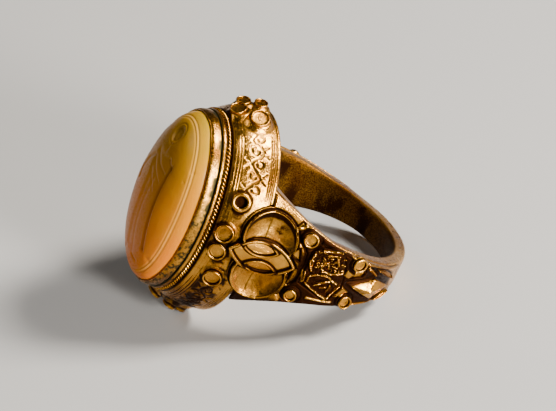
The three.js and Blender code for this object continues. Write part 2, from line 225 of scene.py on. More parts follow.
def inside(y, z, corners):
    """Signed distance to a polygon's edge, positive inside."""
    d = to_path(y, z, list(corners) + [corners[0]])
    odd = np.zeros(np.shape(y), bool)
    for (ay, az), (by, bz) in zip(corners, list(corners[1:]) + [corners[0]]):
        crosses = (az > z) != (bz > z)
        at = lerp(ay, by, (z - az) / np.where(bz == az, 1e-9, bz - az))
        odd ^= crosses & (y < at)
    return np.where(odd, d, -d)


def arc_of(shape):
    """Radius of the two arcs that bound a pointed oval."""
    return (shape["half"] ** 2 + shape["swell"] ** 2) / (2 * shape["swell"])


def in_almond(y, z, shape):
    """Signed distance to a pointed oval's edge, positive inside."""
    swell, arc = shape["swell"], arc_of(shape)
    return arc - np.hypot(np.abs(y - shape["y"]) + arc - swell, z - shape["z"])


def flat_points(y, z):
    """Points that feed the noise on a shoulder, where only y and z count."""
    return np.stack([0 * y, y, z], -1)


def hollows(h, rounds, reach):
    """How far each place of a height grid lies under its surroundings, 0 to 1."""
    mean = h.copy()
    for _ in range(rounds):
        mean = sum((np.roll(mean, way, axis) for axis in (0, 1) for way in (1, -1)), mean) / 5
    return np.clip((mean - h) / reach, 0, 1)


# ---------------------------------------------------------------- meshes

def sheet_faces(nu, nv, wrap_u=False, wrap_v=False, start=0):
    u, v = grid(np.arange(nu if wrap_u else nu - 1), np.arange(nv if wrap_v else nv - 1))
    u2, v2 = (u + 1) % nu, (v + 1) % nv
    return np.stack([u * nv + v, u2 * nv + v, u2 * nv + v2, u * nv + v2], -1).reshape(-1, 4) + start


def bridge(a, b):
    """Triangles between two rows of points that span the same gap."""
    i = j = 0
    faces = []
    while i < len(a) - 1 or j < len(b) - 1:
        if j == len(b) - 1 or (i < len(a) - 1 and (i + 1) * (len(b) - 1) <= (j + 1) * (len(a) - 1)):
            faces.append((a[i], a[i + 1], b[j]))
            i += 1
        else:
            faces.append((a[i], b[j + 1], b[j]))
            j += 1
    return faces


def skin(rings, loop=False):
    """Closed body through rings of points (count, around, 3)."""
    count, around = rings.shape[:2]
    points = rings.reshape(-1, 3)
    quads = sheet_faces(count, around, wrap_u=loop, wrap_v=True)
    if loop:
        return points, quads, np.zeros((0, 3), int)
    ends = np.array([rings[0].mean(0), rings[-1].mean(0)])
    k = np.arange(around)
    k2 = (k + 1) % around
    first = np.stack([np.full(around, len(points)), k, k2], -1)
    last = (count - 1) * around
    second = np.stack([np.full(around, len(points) + 1), last + k2, last + k], -1)
    return np.concatenate([points, ends]), quads, np.concatenate([first, second])


def pushed(rings, wear):
    """Rings of points moved away from each ring's middle."""
    return rings + unit(rings - rings.mean(1, keepdims=True)) * wear[..., None]


def piece(name, body, nodes, slot, grime_and_shade, extra=None, turn=False):
    """Adds one piece from ring-frame points, in its slot's material. turn puts it on the other side."""
    points, quads, tris = body
    if turn:
        points = points * np.array([-1, -1, 1])
    fans = np.concatenate([quads[:, [0, 1, 2]], quads[:, [0, 2, 3]], tris])
    p = points[fans]
    if np.einsum("ij,ij->i", p[:, 0], np.cross(p[:, 1], p[:, 2])).sum() < 0:
        quads = quads[:, ::-1]
        tris = tris[:, ::-1]
    mesh = bpy.data.meshes.new(name)
    mesh.vertices.add(len(points))
    mesh.vertices.foreach_set("co", ((points @ LIE.T + LIE_SHIFT) * MM).astype(np.float32).ravel())
    corners = np.concatenate([quads.ravel(), tris.ravel()]).astype(np.int32)
    mesh.loops.add(len(corners))
    mesh.loops.foreach_set("vertex_index", corners)
    starts = np.concatenate([np.arange(len(quads)) * 4, len(quads) * 4 + np.arange(len(tris)) * 3])
    mesh.polygons.add(len(starts))
    mesh.polygons.foreach_set("loop_start", starts.astype(np.int32))
    mesh.update(calc_edges=True)
    mesh.polygons.foreach_set("use_smooth", np.ones(len(starts), bool))
    # Per-point dark colour: patina in the hollows, and painted shade wherever a piece puts it.
    for key, value in {"grime_and_shade": grime_and_shade, **(extra or {})}.items():
        full = np.zeros(len(points), np.float32)
        full[:value.size] = value.ravel()
        mesh.attributes.new(key, "FLOAT", "POINT").data.foreach_set("value", full)
    mesh.materials.append(MATERIALS[slot])
    obj = bpy.data.objects.new(name, mesh)
    bpy.context.scene.collection.objects.link(obj)
    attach(obj, "root")
    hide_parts(*nodes)
    return obj


# ---------------------------------------------------------------- ring surfaces

DRUM_SOFT = [softened(points, 0.22, BASE_Z, DRUM_TOP_Z, 13.75) for points in (DRUM_X, DRUM_Y)]
LEVEL_SOFT = softened([(z, math.sqrt(max(0, PLATE_R ** 2 - z ** 2))) for z in np.arange(-9, 0, 0.25)]
                      + PLATE_PATH + [(z, x + PLATE_T + UNDER_PLATE) for z, x in DRUM_X[1:6]], 0.3, -9, 14)
WIDTH_SOFT = softened(HALF_WIDTHS, 0.6, -11.4, 9.5)


def drum(z, out=0.0):
    return tuple(np.interp(z, soft[:, 0], soft[:, 1]) + out for soft in DRUM_SOFT)


def half_width(z):
    return np.interp(z, WIDTH_SOFT[:, 0], WIDTH_SOFT[:, 1])


def ground_x(y, z):
    """How far out in X the shoulder's ground lies: the box's curve above, flat across below."""
    bow = np.clip((z - 2) / (BASE_Z - 2), 0, 1)
    a, b = drum(np.maximum(z, BASE_Z), PLATE_T + UNDER_PLATE)
    level = np.interp(z, LEVEL_SOFT[:, 0], LEVEL_SOFT[:, 1])
    return level - bow * a * (1 - np.sqrt(1 - np.minimum(1, (y / b) ** 2)))


def ground(y, z, rise):
    """Points on the shoulder's ground surface, raised along its normal."""
    e = 0.08
    y, z = np.broadcast_arrays(np.asarray(y, float), np.asarray(z, float))
    n = np.stack([np.ones_like(y), -(ground_x(y + e, z) - ground_x(y - e, z)) / (2 * e),
                  -(ground_x(y, z + e) - ground_x(y, z - e)) / (2 * e)], -1)
    return np.stack([ground_x(y, z), y, z], -1) + np.asarray(rise)[..., None] * unit(n)


def on_drum(x, y, z):
    """Place and normal on the box wall; the one of x and y that is None is worked out."""
    a, b = drum(z)
    if x is None:
        x = a * math.sqrt(1 - (y / b) ** 2)
    else:
        y = b * math.sqrt(1 - (x / a) ** 2)
    reach = 0.8
    lean = [(drum(z - reach)[i] - drum(z + reach)[i]) / (2 * reach) for i in (0, 1)]
    n = np.array([x / a ** 2, y / b ** 2, 0.0])
    n /= np.linalg.norm(n)
    n[2] = lean[0] * n[0] ** 2 + lean[1] * n[1] ** 2
    return np.array([x, y, z]), n / np.linalg.norm(n)


def oval(profile, around):
    """Rings round the bezel from a list of (half axis X, half axis Y, z)."""
    t = circle(around)
    rows = [np.stack([a * np.cos(t), b * np.sin(t), z + 0 * t], -1) for a, b, z in profile]
    return np.stack(rows, 1)


# ---------------------------------------------------------------- materials

def fill(node, **values):
    """Sets constants on a node's sockets; an underscore stands for a space."""
    for key, value in values.items():
        node.inputs[key.replace("_", " ")].default_value = value


def new_material(name):
    material = bpy.data.materials.new(name)
    material.use_nodes = True
    tree = material.node_tree
    return material, tree, tree.nodes["Principled BSDF"]


class Graph:
    """Short way to write a node graph."""

    def __init__(self, tree):
        self.tree = tree
        place = self.add("ShaderNodeTexCoord")
        scale = self.add("ShaderNodeVectorMath", operation="SCALE")
        self.link(place.outputs["Object"], scale.inputs[0])
        scale.inputs["Scale"].default_value = 1 / MM
        self.mm = scale.outputs[0]

    def add(self, kind, **settings):
        node = self.tree.nodes.new(kind)
        for key, value in settings.items():
            setattr(node, key, value)
        return node

    def link(self, a, b):
        self.tree.links.new(a, b)

    def put(self, socket, value):
        if hasattr(value, "node"):
            self.link(value, socket)
        else:
            socket.default_value = value

    def noise(self, scale, detail=4, rough=0.55, stretch=None):
        at = self.mm
        if stretch:
            m = self.add("ShaderNodeMapping")
            fill(m, Scale=stretch, Rotation=(0.5, 0.3, 0.9))
            self.link(at, m.inputs["Vector"])
            at = m.outputs[0]
        n = self.add("ShaderNodeTexNoise")
        self.link(at, n.inputs["Vector"])
        fill(n, Scale=scale, Detail=detail, Roughness=rough)
        return n.outputs["Fac"]

    def math(self, operation, a, b=0.0, clamp=False):
        n = self.add("ShaderNodeMath", operation=operation, use_clamp=clamp)
        self.put(n.inputs[0], a)
        self.put(n.inputs[1], b)
        return n.outputs[0]

    def span(self, value, low, high, out_low=0.0, out_high=1.0):
        n = self.add("ShaderNodeMapRange")
        self.put(n.inputs["Value"], value)
        fill(n, From_Min=low, From_Max=high, To_Min=out_low, To_Max=out_high)
        return n.outputs[0]

    def blend(self, factor, a, b):
        n = self.add("ShaderNodeMix", data_type="RGBA")
        self.put(n.inputs["Factor"], factor)
        for socket, value in ((n.inputs[6], a), (n.inputs[7], b)):
            self.put(socket, value if hasattr(value, "node") else (*value, 1))
        return n.outputs[2]

    def value(self, name):
        return self.add("ShaderNodeAttribute", attribute_name=name).outputs["Fac"]

    def bump(self, height, distance, strength=1.0, under=None):
        n = self.add("ShaderNodeBump")
        self.link(height, n.inputs["Height"])
        fill(n, Distance=distance, Strength=strength)
        if under is not None:
            self.link(under, n.inputs["Normal"])
        return n.outputs[0]


GOLD_LIGHT = (0.58, 0.285, 0.036)
GOLD_DEEP = (0.27, 0.098, 0.007)
PATINA_AND_SHADE = (0.013, 0.0038, 0.001)
GREEN_PATINA_AND_SHADE = (0.03, 0.024, 0.009)
GOLD_MOTTLE = (0.34, 0.135, 0.01)
CORNER_REACH = 0.5 * MM
AGATE_ORANGE = (0.52, 0.115, 0.0)
AGATE_AMBER = (0.40, 0.13, 0.0)
AGATE_OLIVE = (0.215, 0.125, 0.002)
AGATE_BAND = (0.39, 0.17, 0.005)
AGATE_GRIME = (0.15, 0.045, 0.002)
AGATE_FROST = (0.52, 0.27, 0.05)


def gold(name, rough, speckle, pits=1.0, grime_and_shade_colour=PATINA_AND_SHADE):
    """Old high-carat gold: bright where rubbed, red-brown patina in the hollows and red-brown painted shade
    wherever a piece or the ambient occlusion puts it, speckled and scratched.
    """
    material, tree, surface = new_material(name)
    g = Graph(tree)
    broad = g.noise(0.28, 3)
    mottle = g.noise(1.9, 6, 0.62)
    fine = g.noise(9.0, 5, 0.65)
    scratch = g.noise(1.0, 4, 0.7, stretch=(1.2, 26.0, 26.0))
    # Ambient occlusion darkens the corners towards the dark colour: painted shade.
    shade = g.add("ShaderNodeAmbientOcclusion", samples=8)
    fill(shade, Distance=CORNER_REACH)
    corner = g.span(shade.outputs["AO"], 0.75, 0.3)
    grime_and_shade = g.math("MULTIPLY", g.value("grime_and_shade"), 1.4)
    deep = g.math("MAXIMUM", grime_and_shade, g.math("MULTIPLY", corner, 0.6))
    spots = g.span(g.math("MULTIPLY", mottle, fine), 0.30, 0.42)
    worn = g.math("MULTIPLY", spots, speckle)
    grime_and_shade_mix = g.math("ADD", deep, worn, clamp=True)
    grime_and_shade_mix = g.math("MULTIPLY", grime_and_shade_mix, g.span(fine, 0.3, 0.62, 0.7, 1.1), clamp=True)
    grime_and_shade_mix = g.span(grime_and_shade_mix, 0.06, 0.74)
    metal = g.blend(g.span(broad, 0.35, 0.65), GOLD_DEEP, GOLD_LIGHT)
    metal = g.blend(g.span(mottle, 0.35, 0.75, 0.0, 0.6), metal, GOLD_MOTTLE)
    g.link(g.blend(grime_and_shade_mix, metal, grime_and_shade_colour), surface.inputs["Base Color"])
    fill(surface, Metallic=1.0)
    polish = g.math("ADD", g.span(mottle, 0.3, 0.7, rough, rough + 0.13), g.math("MULTIPLY", grime_and_shade_mix, 0.3))
    polish = g.math("ADD", polish, g.span(scratch, 0.5, 0.75, 0.0, 0.08), clamp=True)
    g.link(polish, surface.inputs["Roughness"])
    under = g.bump(mottle, 0.06 * MM * pits, 0.7)
    under = g.bump(fine, 0.018 * MM * pits, 0.8, under)
    under = g.bump(scratch, 0.012 * MM, 0.6, under)
    g.link(under, surface.inputs["Normal"])
    return material


def agate(name):
    """Translucent amber agate: olive yellow at one end, orange at the other, satin where it is worn."""
    material, tree, surface = new_material(name)
    g = Graph(tree)
    along = g.value("along")
    cloud = g.noise(0.22, 4, 0.5)
    band = g.noise(0.5, 5, 0.55, stretch=(0.35, 1.6, 1.2))
    fine = g.noise(7.0, 5, 0.6)
    t = g.math("ADD", along, g.span(cloud, 0.3, 0.7, -0.16, 0.16))
    lower = g.blend(g.span(t, -1.0, 0.0), AGATE_ORANGE, AGATE_AMBER)
    upper = g.blend(g.span(t, 0.0, 1.0), lower, AGATE_OLIVE)
    tint = g.blend(g.span(band, 0.42, 0.72, 0.0, 0.3), upper, AGATE_BAND)
    tint = g.blend(g.math("MULTIPLY", g.value("grime_and_shade"), 0.55), tint, AGATE_GRIME)
    tint = g.blend(g.math("MULTIPLY", g.value("frost"), 0.4), tint, AGATE_FROST)
    g.link(tint, surface.inputs["Base Color"])
    fill(surface, IOR=1.54, Specular_IOR_Level=0.07, Subsurface_Weight=0.06,
         Subsurface_Radius=(1.0, 0.42, 0.05), Subsurface_Scale=1.2 * MM)
    satin = g.math("MULTIPLY", g.value("frost"), 0.25)
    polish = g.math("ADD", g.span(fine, 0.3, 0.7, 0.24, 0.34), satin, clamp=True)
    g.link(polish, surface.inputs["Roughness"])
    under = g.bump(g.noise(1.2, 5, 0.6), 0.03 * MM, 0.6)
    g.link(g.bump(fine, 0.006 * MM, 0.7, under), surface.inputs["Normal"])
    return material


def mastic(name):
    """Dull brown resin behind the stone."""
    material, tree, surface = new_material(name)
    g = Graph(tree)
    lumps = g.noise(1.4, 5, 0.6)
    tint = g.blend(g.span(lumps, 0.35, 0.65), (0.05, 0.03, 0.02), (0.13, 0.08, 0.05))
    g.link(tint, surface.inputs["Base Color"])
    g.link(g.span(lumps, 0.3, 0.7, 0.6, 0.9), surface.inputs["Roughness"])
    g.link(g.bump(lumps, 0.1 * MM), surface.inputs["Normal"])
    return material


MATERIALS = {
    "gold_hoop": gold("hoop gold", rough=0.2, speckle=0.22),
    "gold_bezel": gold("bezel gold", rough=0.16, speckle=0.5),
    "gold_setting": gold("setting gold", rough=0.17, speckle=0.5, grime_and_shade_colour=GREEN_PATINA_AND_SHADE),
    "gold_wire": gold("wire gold", rough=0.15, speckle=0.15, pits=0.6),
    "gold_shoulder": gold("shoulder gold", rough=0.14, speckle=0.4),
    "gold_cells": gold("cell gold", rough=0.2, speckle=0.15, pits=0.7),
    "stone": agate("amber agate"),
    "filling": mastic("mastic"),
}


# ---------------------------------------------------------------- hoop

def hoop():
    """Band swept from one side of the bezel round the back to the other, with painted shade over its inner
    face.
    """
    side, turns, around = 90, 260, 72
    top = math.acos(HOOP_TOP_Z / FINGER_R)
    t = circle(around)
    power = 2 / 7
    across = np.sign(np.cos(t)) * np.abs(np.cos(t)) ** power
    through = (np.sign(np.sin(t)) * np.abs(np.sin(t)) ** power + 1) / 2
    sections = []
    for i in range(side):
        k = i / side
        angle = lerp(top, math.pi / 2, k)
        inner = (FINGER_R * math.sin(angle), HOOP_TOP_Z if i == 0 else FINGER_R * math.cos(angle))
        z_out = lerp(HOOP_TOP_Z, 0, k)
        z = lerp(inner[1], z_out, through)
        y = half_width(z) * across
        out = ground_x(y, z_out) - (PLATE_T + UNDER_PLATE) * 1.02
        sections.append(np.stack([lerp(inner[0], out, through), y, z], -1))
    for i in range(turns + 1):
        angle = math.pi / 2 + i / turns * math.pi
        r = lerp(FINGER_R, HOOP_R, through)
        z = r * math.cos(angle)
        sections.append(np.stack([r * math.sin(angle), half_width(z) * across, z], -1))
    for points in reversed(sections[:side]):
        sections.append(points * np.array([-1, 1, 1]))
    rings = np.stack(sections)
    wear = 0.035 * noise(rings, 0.35, 5) + 0.012 * grain(rings, 1.3, 9)
    rings = pushed(rings, wear)
    radius = np.hypot(rings[..., 0], rings[..., 2])
    inner_face = 1 - step(FINGER_R + 0.1, FINGER_R + 0.5, radius)
    darkening = step(0.0, 0.7, grain(rings, 0.55, 21)) * 0.2
    # Painted shade over most of the band's inner face.
    darkening = darkening + 0.5 * inner_face * step(-2.8, -0.6, noise(rings, 0.4, 23))
    piece("band", skin(rings), ["hoop"], "gold_hoop", darkening)


# ---------------------------------------------------------------- bezel box

def scroll(s, v):
    """Depth of a running scroll with buds and leaf ticks: s along the frieze, v across it, both in mm."""
    phase = s / SCROLL_PITCH * TAU
    wave = SCROLL_SWING * np.sin(phase)
    slope = SCROLL_SWING * TAU / SCROLL_PITCH * np.cos(phase)
    stem = np.abs(v - wave) / np.sqrt(1 + slope ** 2)
    cut = bell(stem, 0.13)
    half = SCROLL_PITCH / 2
    lobe = np.floor(s / half)
    u = s - (lobe + 0.5) * half
    turned = np.where(lobe % 2 == 0, 1.0, -1.0)
    w = v * turned
    curl = np.abs(np.hypot(u - 0.06, w + 0.28) - 0.36)
    gap = np.arctan2(w + 0.28, u - 0.06)
    cut = np.maximum(cut, bell(curl, 0.12) * (np.abs(gap - 0.9) > 0.5))
    for place, lean in ((-0.3, -0.5), (0.3, 0.5)):
        tick = to_segment(u, w, (place, 0.82), (place + lean * 0.6, 1.2))[0]
        cut = np.maximum(cut, 0.9 * bell(tick, 0.12))
    return cut


def wall():
    """Flared wall of the box: turned lines, a worn frieze, and a mound of solder between the end cells."""
    around, rows = 980, 96
    t = circle(around)
    z = np.concatenate([np.linspace(BASE_Z + BASE_PLATE_T + 0.02, 14.0, rows - 12),
                        np.linspace(14.03, 14.24, 8), np.linspace(14.3, DRUM_TOP_Z, 4)])
    a_mid, b_mid = drum(11.6)
    lengths = np.hypot(a_mid * np.sin(t), b_mid * np.cos(t)) * TAU / around
    s = np.cumsum(lengths)
    T, Z = grid(t, z)
    S = np.repeat(s[:, None], len(z), 1)
    A, B = drum(Z)
    X, Y = A * np.cos(T), B * np.sin(T)
    near_shoulder = 1 - step(4.9, 6.2, np.abs(Y))
    near_end = 1 - step(2.9, 4.2, np.abs(X))
    open_field = (1 - near_shoulder) * (1 - near_end)
    P = np.stack([X, Y, Z], -1)
    h = 0.02 * noise(P, 0.45, 31) + 0.012 * grain(P, 1.6, 33)
    for level, deep in WALL_LINES:
        wander = level + 0.02 * noise(np.stack([S, 0 * S, 0 * S], -1), 0.8, int(level * 10))
        h -= deep * bell(Z - wander, 0.05) * (0.25 + 0.75 * open_field)
    h += 0.05 * sum(bell(Z - level, width) for level, width in WALL_BEADS) * open_field
    low, high = FRIEZE_Z
    field = step(low, low + 0.15, Z) * (1 - step(high - 0.15, high, Z)) * open_field
    worn = step(-0.6, 0.5, grain(P, 0.7, 37))
    carved = scroll(S + 0.22 * noise(P, 0.8, 35), Z - FRIEZE_MID_Z + 0.12 * noise(P, 0.9, 36))
    h -= 0.14 * carved * field * (0.35 + 0.65 * worn)
    h -= 0.02 * step(0.15, 0.6, grain(P, 3.2, 41)) * field
    solder = np.zeros_like(h)
    cell_shadow = np.zeros_like(h)
    mound = np.zeros_like(h)
    bore = np.ones_like(h)
    for turned in (1, -1):
        for cy, cz, r, _ in BOX_CELLS:
            foot = on_drum(None, cy, cz)[0]
            d = np.linalg.norm(P - foot * np.array([turned, turned, 1]), axis=-1)
            solder += 0.1 * bell(d - r - 0.1, 0.12)
            cell_shadow += 1.1 * bell(d - r - 0.12, 0.17)
        for cx, cz, r, _ in END_CELLS:
            foot = on_drum(cx, None, cz)[0]
            d = np.linalg.norm(P - foot * np.array([turned, turned, 1]), axis=-1)
            mound = np.maximum(mound, 1 - step(r + 0.05, r + 0.75, d))
            bore = bore * step(r - 0.3, r - 0.05, d)
            cell_shadow += bell(d - r - 0.05, 0.12) * 0.8
    h += solder + 0.42 * mound * bore
    # Dark colour: patina in the recesses, painted shadow in a ring round each cell's foot, patchy darkening
    # over the frieze where Y·sign(X) is low, a dark band in the crease under the top lip, and a darker foot
    # of the wall.
    grime_and_shade = hollows(h, 14, 0.06) * (0.35 + 0.65 * step(0.3, -0.4, grain(P, 0.6, 39)))
    grime_and_shade = np.clip(grime_and_shade + 0.5 * cell_shadow * step(-0.4, 0.3, noise(P, 1.1, 43)), 0, 1)
    grime_and_shade = np.maximum(grime_and_shade, 0.8 * bell(Z - 14.1, 0.12))
    under = step(8.5, 1.0, Y * np.sign(X)) * step(-0.45, 0.35, grain(P, 1.3, 47))
    grime_and_shade = np.clip(grime_and_shade * 1.2 + 0.6 * under * step(10.2, 10.6, Z) * (1 - step(12.9, 13.3, Z)), 0, 1)
    grime_and_shade = np.maximum(grime_and_shade, 0.5 * (1 - step(9.56, 9.7, Z)))
    outer = np.stack([(A + h) * np.cos(T), (B + h) * np.sin(T), Z], -1)
    levels = (DRUM_TOP_Z - 0.01, 12.9, 11.2, z[0])
    inner = oval([(*drum(level, -DRUM_WALL), level) for level in levels], around)
    rings = np.concatenate([outer, inner], 1)
    full = np.concatenate([grime_and_shade, np.zeros((around, 4))], 1)
    piece("box_wall", skin(rings, loop=True), ["bezel_wall"], "gold_bezel", full)


def base_plate():
    """Floor of the box, an oval plate with a rounded edge."""
    around = 480
    a, b = drum(BASE_Z)
    rows = [(a - inset, b - inset, z) for inset, z in (
        (8.0, BASE_Z), (4.0, BASE_Z), (1.0, BASE_Z), (0.13, BASE_Z),
        (0.05, BASE_Z + 0.03), (0.0, BASE_Z + 0.1), (0.0, BASE_Z + 0.28), (0.04, BASE_Z + 0.37),
        (0.1, BASE_Z + BASE_PLATE_T), (0.8, BASE_Z + BASE_PLATE_T), (8.0, BASE_Z + BASE_PLATE_T),
    )]
    rings = oval(rows, around).transpose(1, 0, 2)
    wear = 0.03 * noise(rings, 0.6, 51) + 0.01 * grain(rings, 2.0, 53)
    flat = rings * np.array([1, 1, 0])
    rings = rings + flat / np.maximum(np.linalg.norm(flat, axis=-1, keepdims=True), 1) * wear[..., None]
    darkening = 0.35 * step(0.0, 0.6, grain(rings, 0.9, 55))
    piece("box_floor", skin(rings), ["bezel_base_plate"], "gold_bezel", darkening)


# ---------------------------------------------------------------- setting

def oval_bar(name, profile, nodes, slot, uneven, seed, grime_and_shade):
    """Closed oval bar from a profile of (out from the stone's edge, z) corners, with worn unevenness."""
    rings = oval([(GEM[0] + d, GEM[1] + d, z) for d, z in profile], 560)
    rings = pushed(rings, uneven * noise(rings, 0.55, seed) + 0.4 * uneven * grain(rings, 1.8, seed + 1))
    piece(name, skin(rings, loop=True), nodes, slot, grime_and_shade(rings))


def round_bar(corners):
    """Smooths a closed profile by chopping its corners."""
    points = np.array(corners, float)
    for _ in range(3):
        ahead = np.roll(points, -1, 0)
        points = np.stack([0.78 * points + 0.22 * ahead, 0.22 * points + 0.78 * ahead], 1).reshape(-1, 2)
    return [tuple(p) for p in points]


def setting():
    """Rubbed-over rim that holds the stone, and the seat under it."""
    def rim_dark(rings):
        low = 1 - step(15.35, 15.85, rings[..., 2])
        blotch = step(-0.15, 0.45, grain(rings, 1.1, 63))
        seam = bell(rings[..., 2] - 15.2, 0.1)
        lower_side = step(5.5, 0.0, rings[..., 1] * np.sign(rings[..., 0]))
        speckle = step(-0.25, 0.55, grain(rings, 4.5, 65)) * lower_side
        return np.clip(0.75 * low * blotch + 0.9 * seam + 0.62 * speckle, 0, 1)

    rim = round_bar([(0.02, RIM_Z[0]), (0.44, RIM_Z[0]), (0.46, 15.5), (0.42, 16.02),
                     (0.26, RIM_Z[1] + 0.02), (0.04, RIM_Z[1]), (0.03, 15.9)])
    oval_bar("rubbed_rim", rim, ["setting_rim"], "gold_setting", 0.035, 61, rim_dark)

    def flange_dark(rings):
        seam = bell(rings[..., 2] - FLANGE_Z[1], 0.09) + bell(rings[..., 2] - FLANGE_Z[0], 0.08)
        return np.clip(0.9 * seam + 0.3 * step(0.1, 0.5, grain(rings, 1.9, 73)), 0, 1)

    flange = round_bar([(-0.7, FLANGE_Z[0]), (0.44, FLANGE_Z[0]), (0.6, 14.74), (0.62, 14.95),
                        (0.5, FLANGE_Z[1]), (-0.7, FLANGE_Z[1])])
    oval_bar("setting_seat", flange, ["setting_flange"], "gold_setting", 0.02, 71, flange_dark)


def wire():
    """Two strands twisted round each other all the way round the setting."""
    sides = 10
    count = WIRE_TURNS * 18
    t = circle(count)
    a, b, z = WIRE
    middle = np.stack([a * np.cos(t), b * np.sin(t), z + 0 * t], -1)
    along = np.stack([-a * np.sin(t), b * np.cos(t), 0 * t], -1)
    speed = np.linalg.norm(along, axis=-1)
    along /= speed[:, None]
    out = np.stack([along[:, 1], -along[:, 0], 0 * t], -1)
    up = np.array([0.0, 0.0, 1.0])
    run = np.cumsum(speed)
    run = run / run[-1] * WIRE_TURNS * TAU
    k = circle(sides)
    points, quads, dark, start = [], [], [], 0
    for strand in (0, math.pi):
        c, s = np.cos(run + strand), np.sin(run + strand)
        spot = middle + STRAND_OUT * (c[:, None] * out + s[:, None] * up)
        across = np.cos(k)[None, :, None] * out[:, None] + np.sin(k)[None, :, None] * up
        ring = spot[:, None] + STRAND_R * across
        ring = ring + 0.006 * noise(ring, 3.0, 81)[..., None] * out[:, None]
        points.append(ring.reshape(-1, 3))
        quads.append(sheet_faces(count, sides, True, True, start))
        start += count * sides
        gap = np.linalg.norm(ring - middle[:, None], axis=-1)
        dark.append((1 - step(0.13, 0.215, gap)).ravel())
    body = (np.concatenate(points), np.concatenate(quads), np.zeros((0, 3), int))
    piece("twisted_wire", body, ["milled_wire"], "gold_wire", np.concatenate(dark))


# ---------------------------------------------------------------- stone

def engraving(x, y):
    """Depth cut into the stone: a draped standing figure inside a double border line."""
    reach = np.hypot(x / GEM[0], y / GEM[1])
    size = np.hypot(x, y) / np.maximum(reach, 1e-6)
    edge = (1 - reach) * size
    cut = 0.05 * bell(edge - 0.62, 0.08) + 0.04 * bell(edge - 0.9, 0.075)
    frost = 0.9 * bell(edge - 0.76, 0.22)
    head = np.hypot((x + 0.15) / 1.0, (y - 7.0) / 1.12)
    cut += 0.20 * (1 - step(0.55, 1.0, head)) + 0.05 * bell(head - 1.05, 0.1)
    nose = [(-0.55, 7.35), (-0.3, 7.45), (-0.12, 7.3), (-0.2, 6.85), (-0.02, 6.8)]
    face = 0.05 * bell(to_path(x, y, nose), 0.07)
    face += 0.05 * bell(to_path(x, y, [(0.12, 7.36), (0.42, 7.42)]), 0.07)
    face += 0.05 * bell(to_path(x, y, [(-0.35, 6.5), (-0.05, 6.46), (0.2, 6.52)]), 0.06)
    cut -= face
    cut += 0.10 * bell(to_path(x, y, [(-0.15, 5.9), (-0.1, 5.2)]), 0.32)
    robe = inside(x, y, [(-1.5, 4.9), (1.45, 5.1), (2.35, 4.2), (2.75, 0.4), (2.95, -5.4),
                         (1.2, -6.9), (-0.7, -6.8), (-0.75, -1.5), (-1.0, 1.6), (-2.0, 3.6)])
    cut += 0.10 * step(-0.1, 0.7, robe)
    folds = [
        ([(2.35, 4.3), (2.45, 1.2), (2.7, -2.0), (2.95, -5.3)], 0.22, 0.2, 0.0),
        ([(0.6, 2.0), (0.45, -0.6), (0.6, -3.4), (0.95, -6.0)], 0.04, 0.25, 0.0),
        ([(-1.3, 4.3), (0.3, 3.4), (1.9, 3.1)], 0.055, 0.17, 0.3),
        ([(-1.5, 3.5), (0.0, 2.6), (1.7, 1.9)], 0.05, 0.15, 0.3),
        ([(-1.0, 2.3), (0.2, 1.5), (1.2, 0.7)], 0.04, 0.14, 0.2),
        ([(-1.9, 3.4), (-2.9, 2.5), (-3.5, 1.0), (-3.0, 0.1)], 0.14, 0.24, 0.2),
        ([(1.5, 4.7), (2.5, 3.9)], 0.1, 0.18, 0.1),
        ([(-0.6, -6.9), (-1.3, -7.3)], 0.1, 0.2, 0.0),
        ([(1.1, -7.0), (1.9, -7.2)], 0.1, 0.2, 0.0),
    ]
    for points, deep, width, chalk in folds:
        d = to_path(x, y, points)
        cut += deep * bell(d, width)
        frost += chalk * bell(d, width * 1.6)
    return cut, frost


def stone():
    """Domed cabochon with the cut figure, nicked along its edge, on a skirt that goes down into the rim."""
    around, rows = 620, 152
    t = circle(around)
    k = (np.arange(rows) + 0.5) / rows
    lift = np.cos(k * math.pi / 2)
    spread = np.sin(k * math.pi / 2)
    K, T = grid(spread, t)
    X, Y = GEM[0] * K * np.cos(T), GEM[1] * K * np.sin(T)
    L = np.repeat(lift[:, None], around, 1)
    n = unit(np.stack([X / GEM[0] ** 2, Y / GEM[1] ** 2, L / GEM_DOME], -1))
    P = np.stack([X, Y, GEM_EDGE_Z + GEM_DOME * L], -1)
    cut, frost = engraving(X, Y)
    wear = 0.03 * noise(P, 0.4, 91) + 0.008 * grain(P, 1.6, 93)
    nicks = 0.09 * step(0.62, 0.85, grain(P, 1.0, 95)) * step(0.75, 0.95, K)
    h = wear - cut - nicks
    for cx, cy, r, deep in STONE_CHIPS:
        h -= deep * bell(np.hypot(X - cx, Y - cy), r)
    top = P + n * h[..., None]
    dark = hollows(h, 10, 0.05)
    under_z = RIM_Z[0] + 0.03
    skirt = [(GEM[0] + d, GEM[1] + d, z) for d, z in (
        (0.0, GEM_EDGE_Z - 0.05), (-0.02, 15.8), (-0.06, RIM_Z[0] + 0.08),
        (-0.2, under_z), (-3.0, under_z), (-6.0, under_z),
    )]
    low = oval(skirt, around).transpose(1, 0, 2)
    rings = np.concatenate([top, low])
    flat = np.zeros((len(skirt), around))
    frost = np.concatenate([np.clip(frost + nicks * 6, 0, 1), flat])
    extra = {"along": rings[..., 1] / GEM[1], "frost": frost}
    piece("engraved_stone", skin(rings), ["intaglio_stone"], "stone", np.concatenate([dark, flat]), extra)


# ---------------------------------------------------------------- shoulder plates

def plate_top(y):
    """Upper outline of the ornament plate: the lobes round the circles and the tip of the almond."""
    tops = [cz + np.sqrt(np.maximum(0, CIRCLE_LOBE ** 2 - (y - cy) ** 2)) for cy, cz in CIRCLES]
    swell, arc = ALMOND["swell"], arc_of(ALMOND)
    reach = np.minimum(swell, np.abs(y - ALMOND["y"])) + arc - swell
    tops.append(ALMOND["z"] + 0.1 + np.sqrt(np.maximum(0, arc ** 2 - reach ** 2)))
    return np.maximum.reduce(tops + [np.full(np.shape(y), BASE_Z + 0.12)])


